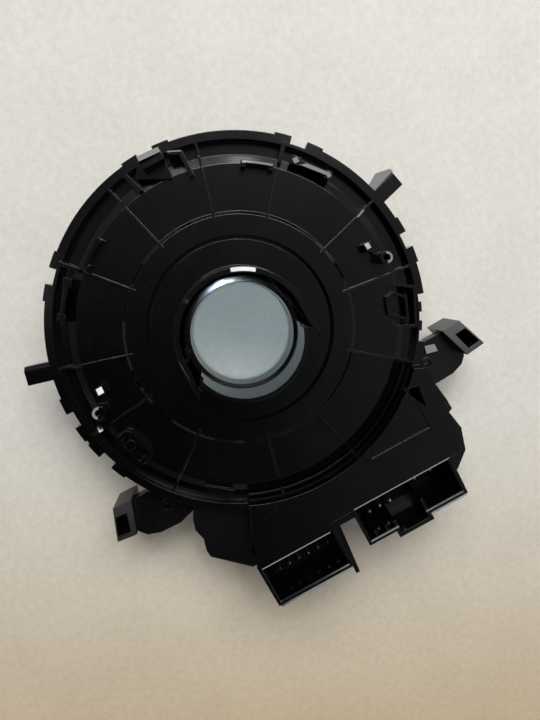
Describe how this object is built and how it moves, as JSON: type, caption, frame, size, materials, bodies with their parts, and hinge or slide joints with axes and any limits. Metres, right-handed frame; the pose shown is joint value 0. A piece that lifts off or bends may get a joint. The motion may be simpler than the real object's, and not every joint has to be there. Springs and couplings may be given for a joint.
{
  "type": "steering clock spring",
  "caption": "Round steering clock spring: ribbed column side cover with shaft tube and cancelling cam, hooded connector housing and two clip arms.",
  "frame": {"origin": "on the steering axis, in the plane of the wheel side collar's mouth that the part rests on", "axes": "+Z along the steering axis toward the steering column, -Y toward the column side connectors"},
  "size_m": [0.1236, 0.1347, 0.047],
  "materials": {
    "cover_black": "moulded, semi-gloss",
    "case_black": "moulded, semi-gloss",
    "sleeve_black": "moulded, glossy, low-friction grade",
    "rotor_black": "moulded, semi-gloss",
    "inner_black": "moulded, matt",
    "insert_black": "moulded, matt",
    "tinned": "tin plated",
    "gilt": "gold flashed",
    "film": "low-friction film",
    "carrier_white": "acetal, natural",
    "roller_white": "acetal, natural",
    "ribbon": "laminated ribbon, amber"
  },
  "bodies": {
    "stator": {"back_cover": "cover_black", "stator_case": "case_black", "stator_lead_block": "inner_black", "large_socket_insert": "insert_black", "small_socket_insert": "insert_black", "large_socket_pins": "tinned", "small_socket_pins": "tinned", "rear_slide_film": "film"},
    "turning": {"rotor": "rotor_black", "cam_sleeve": "sleeve_black", "rotor_lead_block": "inner_black", "airbag_pins": "gilt", "switch_pins": "tinned", "front_slide_film": "film"},
    "carrier": {"roller_carrier": "carrier_white", "flat_cable": "ribbon"},
    "roller_a": {"roller_1": "roller_white"},
    "roller_b": {"roller_2": "roller_white"},
    "roller_c": {"roller_3": "roller_white"},
    "roller_d": {"roller_4": "roller_white"}
  },
  "joints": [
    {"name": "rotor_turn", "type": "hinge", "parent": "stator", "child": "turning", "pos_m": [0, 0, 0], "axis": [0, 0, 1], "range_deg": [-990, 990]},
    {"name": "carrier_turn", "type": "hinge", "parent": "stator", "child": "carrier", "pos_m": [0, 0, 0], "axis": [0, 0, 1], "range_deg": [-390, 390], "deforming": ["flat_cable"]},
    {"name": "roller_a_spin", "type": "hinge", "parent": "carrier", "child": "roller_a", "pos_m": [0, -0.03435, 0.016], "axis": [0, 0, 1], "range_deg": [-2400, 2400]},
    {"name": "roller_b_spin", "type": "hinge", "parent": "carrier", "child": "roller_b", "pos_m": [0.03435, 0, 0.016], "axis": [0, 0, 1], "range_deg": [-2400, 2400]},
    {"name": "roller_c_spin", "type": "hinge", "parent": "carrier", "child": "roller_c", "pos_m": [0, 0.03435, 0.016], "axis": [0, 0, 1], "range_deg": [-2400, 2400]},
    {"name": "roller_d_spin", "type": "hinge", "parent": "carrier", "child": "roller_d", "pos_m": [-0.03435, 0, 0.016], "axis": [0, 0, 1], "range_deg": [-2400, 2400]}
  ],
  "couplings": [
    {"joint": "carrier_turn", "follows": "rotor_turn", "ratio": 0.386},
    {"joint": "roller_a_spin", "follows": "rotor_turn", "ratio": -2.42},
    {"joint": "roller_b_spin", "follows": "rotor_turn", "ratio": -2.42},
    {"joint": "roller_c_spin", "follows": "rotor_turn", "ratio": -2.42},
    {"joint": "roller_d_spin", "follows": "rotor_turn", "ratio": -2.42}
  ]
}
